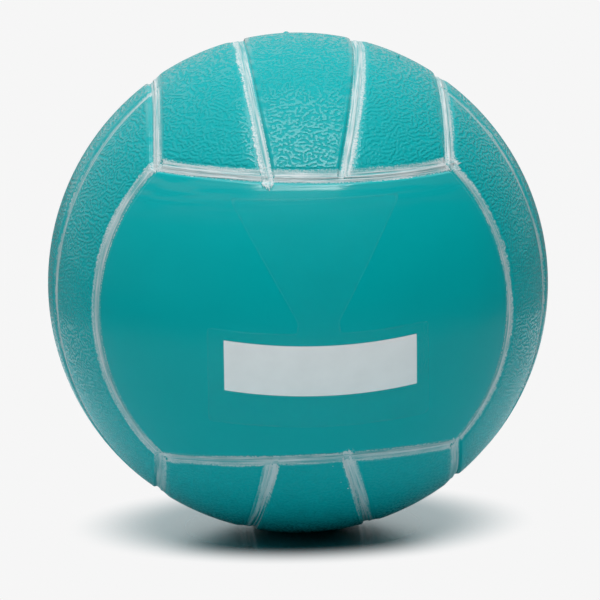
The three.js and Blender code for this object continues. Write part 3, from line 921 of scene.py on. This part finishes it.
class Nodes:
    """The nodes of a material, a lamp or the world, with short ways to add nodes and join them."""

    def __init__(self, owner):
        self.owner = owner
        owner.use_nodes = True
        self.tree = owner.node_tree
        self.shader = self.tree.nodes.get("Principled BSDF")

    def put(self, value, socket):
        """Joins an output to an input, or sets the input to a number, a vector, a grey or a colour."""
        if isinstance(value, bpy.types.NodeSocket):
            self.tree.links.new(value, socket)
        else:
            socket.default_value = rgba(value) if socket.type == "RGBA" else value

    def feed(self, node, **inputs):
        """Puts values into a node's inputs by name."""
        for name, value in inputs.items():
            self.put(value, node.inputs[name.replace("_", " ")])
        return node

    def add(self, kind, *inputs, **values):
        """Adds a node. Names in small letters are its settings, other names and bare values its inputs."""
        node = self.tree.nodes.new("ShaderNode" + kind)
        for name in filter(str.islower, values):
            setattr(node, name, values[name])
        for value, socket in zip(inputs, [socket for socket in node.inputs if socket.enabled]):
            self.put(value, socket)
        return self.feed(node, **{name: values[name] for name in values if not name.islower()})

    def out(self, kind, *inputs, **values):
        """The main output of a new node."""
        return next(socket for socket in self.add(kind, *inputs, **values).outputs if socket.enabled)

    def ramp(self, source, *stops):
        """A colour ramp over (position, grey or colour) stops."""
        node = self.add("ValToRGB", source)
        elements = node.color_ramp.elements
        while len(elements) < len(stops):
            elements.new(0.5)
        for element, (position, colour) in zip(elements, stops):
            element.position = position
            element.color = rgba(colour)
        return node.outputs["Color"]

    def plus(self, a, b):
        return self.out("Math", a, b, operation="ADD")

    def times(self, a, b):
        return self.out("Math", a, b, operation="MULTIPLY")

    def mix(self, factor, a, b):
        return self.out("Mix", factor, a, b, data_type="RGBA")

    def fade(self, value, start, stop, strength=1):
        """Rises smoothly from 0 to a strength between two values."""
        return self.out("MapRange", value, start, stop, 0, strength, interpolation_type="SMOOTHSTEP")

    def noise(self, vector, scale, detail=2, roughness=0.5):
        return self.out("TexNoise", vector, Scale=scale, Detail=detail, Roughness=roughness)

    def bump(self, height, distance, **over):
        """Relief, over another one that is given as Normal."""
        return self.out("Bump", Height=height, Distance=distance, **over)

    def relief(self, place, scale, height, **over):
        """Even fine relief."""
        return self.bump(self.noise(place, scale), height, **over)

    def length(self, vector):
        return self.out("VectorMath", vector, operation="LENGTH")

    def split(self, vector):
        return self.add("SeparateXYZ", vector).outputs

    def object_place(self):
        return self.add("TexCoord").outputs["Object"]

    def camera_ray(self):
        return self.add("LightPath").outputs["Is Camera Ray"]

    def attribute(self, name, output="Fac"):
        return self.add("Attribute", attribute_name=name).outputs[output]


def skin_material():
    """Teal vinyl. Where it is grained, flat polished ridges stand over dull valleys."""
    n = Nodes(bpy.data.materials.new("skin_vinyl"))
    place = n.object_place()
    grain = n.attribute("grain")
    cells = n.out("TexGabor", place, GRAIN_SCALE, GRAIN_FREQUENCY, 0, gabor_type="3D")
    ridges = n.times(n.ramp(cells, *GRAIN_RIDGES), grain)
    crowns = n.ramp(cells, *GRAIN_CROWNS)
    wiping = n.noise(n.out("Mapping", place, Scale=WIPED_SCALE), 1, 3)
    near_top = n.ramp(n.split(place)["Z"], *WIPED_HEIGHTS)
    uneven = n.ramp(n.noise(place, SMOOTH_PATCHES, 4), *SMOOTH_ROUGHNESS)
    smooth = n.mix(near_top, uneven, n.ramp(wiping, *WIPED_ROUGHNESS))
    grained = n.mix(crowns, VALLEY_ROUGHNESS, CROWN_ROUGHNESS)
    smooth_coat = n.times(near_top, n.ramp(wiping, *WIPED_GLOSS))
    fine = n.relief(place, *FINE_RELIEF)
    slow = n.relief(place, *SLOW_RELIEF, Normal=fine)
    n.feed(
        n.shader,
        Base_Color=n.mix(n.noise(place, TEAL_PATCHES, 3), TEAL_DEEP, TEAL),
        Roughness=n.mix(grain, smooth, grained),
        IOR=VINYL_IOR,
        Coat_Weight=n.mix(grain, smooth_coat, n.times(crowns, CROWN_GLOSS)),
        Coat_Roughness=CROWN_ROUGHNESS,
        Normal=n.bump(ridges, GRAIN_HEIGHT, Normal=slow),
    )
    return n.owner


def ink_material():
    """White ink over teal: drawn out in streaks, beaded where the attribute says so, and thin at its edge."""
    n = Nodes(bpy.data.materials.new("brushed_ink"))
    place = n.object_place()
    brush = n.attribute("brush", "Vector")
    white, inside, lumpy = n.split(n.attribute("paint", "Vector"))

    def drawn_out(along, across):
        return n.plus(n.noise(n.out("Mapping", brush, Scale=(along, across, 1)), 1, 2, 0.6), -0.5)

    wide_streaks = drawn_out(*WIDE_STREAKS)
    fine_streaks = drawn_out(*FINE_STREAKS)
    beads = n.plus(n.noise(place, BEAD_SCALE, 2, 0.6), -0.5)
    streaky = n.plus(n.times(wide_streaks, WIDE_STRENGTH), n.times(fine_streaks, FINE_STRENGTH))
    streaky = n.times(streaky, n.plus(n.times(lumpy, -0.8), 1.0))
    beaded = n.times(n.plus(n.times(beads, BEAD_STRENGTH), 0.12), n.plus(lumpy, 0.15))
    white = n.plus(white, n.plus(streaky, beaded))
    ragged = n.plus(n.times(beads, 2.0), n.times(wide_streaks, 1.2))
    present = n.ramp(n.plus(inside, ragged), (0.0, 0), (0.35, 1))
    grainy = n.relief(place, *INK_RELIEF)
    n.feed(
        n.shader,
        Base_Color=n.mix(present, TEAL, n.mix(white, INK_THIN, INK_WHITE)),
        Roughness=INK_ROUGHNESS,
        Normal=n.bump(n.times(white, present), INK_HEIGHT, Normal=grainy),
    )
    return n.owner


def film_material():
    """Clear but for a faint light line along its cut edge, a painted highlight where that edge catches light.
    """
    n = Nodes(bpy.data.materials.new("clear_film"))
    alpha = n.ramp(n.attribute("rim"), *FILM_ALPHA_AND_RIM_HIGHLIGHT)
    n.feed(n.shader, Base_Color=FILM_TEAL, Roughness=0.25, Specular_IOR_Level=0.35, Alpha=alpha)
    return n.owner


def plain_material(name, colour, roughness):
    n = Nodes(bpy.data.materials.new(name))
    place = n.object_place()
    shade = tuple(c * 0.9 for c in colour)
    n.feed(
        n.shader,
        Base_Color=n.mix(n.noise(place, 120, 3), shade, colour),
        Roughness=roughness,
        Normal=n.bump(n.noise(place, 600, 3), 0.03 * MM),
    )
    return n.owner


def floor_material():
    """A polished table in a dark room, with the ball's shadow painted dark teal round its foot, and round
    that shadow plain background to the camera.
    """
    n = Nodes(bpy.data.materials.new("floor"))
    place = n.object_place()
    # Near the ball's foot this colour is painted shadow.
    tones_and_painted_shadow = n.ramp(n.length(place), *FLOOR_TONES_AND_PAINTED_SHADOW)
    plain = n.feed(n.shader, Base_Color=tones_and_painted_shadow, Roughness=0.4, Specular_IOR_Level=0.3).outputs[0]
    polish = n.out("BsdfAnisotropic", Color=POLISH_COLOUR, Roughness=POLISH_ROUGHNESS)
    glow = n.out("Emission", Color=BACKGROUND, Strength=1)
    seen = n.camera_ray()
    from_shadow = n.length(n.out("Mapping", place, Location=SHADOW_MIDDLE, Scale=SHADOW_SHAPE))
    polished = n.out("MixShader", n.times(seen, POLISH), plain, polish)
    mixed = n.out("MixShader", n.times(seen, n.fade(from_shadow, *SHADOW_FADE)), polished, glow)
    n.feed(n.tree.nodes["Material Output"], Surface=mixed)
    return n.owner


def make_floor():
    bpy.ops.mesh.primitive_circle_add(vertices=96, radius=FLOOR_RADIUS, fill_type="NGON")
    floor = bpy.context.object
    floor.name = "studio_floor"
    floor.data.materials.append(floor_material())


def make_world():
    """Soft light from all round, stronger towards some directions, and plain background to the camera."""
    n = Nodes(bpy.data.worlds.new("studio"))
    bpy.context.scene.world = n.owner
    place = n.add("TexCoord").outputs["Generated"]
    total = EVEN_LIGHT
    for direction, start, strength in SKY:
        towards = n.out("VectorMath", place, Vector(direction).normalized(), operation="DOT_PRODUCT")
        total = n.plus(n.fade(towards, start, 1, strength), total)
    sky = n.feed(n.tree.nodes["Background"], Color=1, Strength=total).outputs[0]
    backdrop = n.out("Background", Color=BACKGROUND)
    mixed = n.out("MixShader", n.camera_ray(), sky, backdrop)
    n.feed(n.tree.nodes["World Output"], Surface=mixed)


def make_softbox():
    """A lamp over the ball that is brighter towards its front end."""
    light = bpy.data.lights.new("overhead", "AREA")
    light.shape = "RECTANGLE"
    light.size, light.size_y = SOFTBOX_SIZE
    light.energy = SOFTBOX_WATTS
    n = Nodes(light)
    backwards = n.split(n.add("NewGeometry").outputs["Parametric"])["Y"]
    share = n.out("MapRange", backwards, 0, 1, *SOFTBOX_FALL)
    n.feed(n.tree.nodes["Emission"], Strength=share)
    lamp = add_object("overhead", light)
    elevation = math.radians(SOFTBOX_ELEVATION)
    lamp.location = CENTRE + SOFTBOX_DISTANCE * Vector((0, -math.cos(elevation), math.sin(elevation)))
    lamp.rotation_euler = (CENTRE - lamp.location).to_track_quat("-Z", "Y").to_euler()


def make_camera():
    focal_pixels = BALL_PIXELS * math.sqrt((CAMERA_DISTANCE / (BALL_RADIUS * MM)) ** 2 - 1)
    camera = add_object("camera", bpy.data.cameras.new("camera"))
    camera.data.sensor_width = SENSOR
    camera.data.lens = focal_pixels * SENSOR / PICTURE_PIXELS
    camera.data.clip_end = FAR_CLIP
    right, forward, up = (
        Matrix.Rotation(CAMERA_ROLL, 3, "Y")
        @ Matrix.Rotation(CAMERA_PITCH, 3, "X")
        @ Matrix.Rotation(CAMERA_TURN, 3, "Z")
    )
    per_pixel = CAMERA_DISTANCE / focal_pixels
    sideways = (PICTURE_PIXELS / 2 - BALL_IN_PICTURE[0]) * per_pixel
    upwards = (BALL_IN_PICTURE[1] - PICTURE_PIXELS / 2) * per_pixel
    place = CENTRE - forward * CAMERA_DISTANCE + right * sideways + up * upwards
    rotation = Matrix((right, up, -forward)).transposed()
    camera.matrix_world = Matrix.Translation(place) @ rotation.to_4x4()
    bpy.context.scene.camera = camera


def finish_piece(piece, slot, *nodes):
    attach(piece, "root")
    if nodes:
        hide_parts(*nodes)


def build_ball():
    vinyl = skin_material()
    finish_piece(make_skin(vinyl), "skin", "ball_skin")
    ink = ink_material()
    for index, line in enumerate(LINES):
        plain = PLAIN_STRIP if "strip" in line.name else {}
        stroke = Stroke(10 * index + 5, **STROKES.get(line.name, plain))
        finish_piece(make_painted_line(line, stroke, ink), "line_ink", f"line_{line.name}")
    finish_piece(make_film(film_material()), "film", "print_film")
    plain_ink = plain_material("plain_ink", PLAIN_INK, 0.45)
    finish_piece(make_plate(plain_ink), "line_ink")
    finish_piece(make_domes("ink_specks", SPECKS, plain_ink), "line_ink")
    finish_piece(make_domes("moulding_nubs", NUBS, vinyl), "skin")
    housing, core = valve_profiles()
    sleeve = make_turned("valve_sleeve", housing, plain_material("valve_sleeve", SLEEVE_GREY, 0.45))
    plug = make_turned("valve_plug", core, plain_material("valve_plug", PLUG_BLACK, 0.6), radius=0.3)
    finish_piece(sleeve, "valve_housing", "valve_housing")
    finish_piece(plug, "valve_core", "valve_core")


bpy.context.scene.view_settings.view_transform = "Standard"
make_camera()
make_floor()
make_world()
make_softbox()
build_ball()
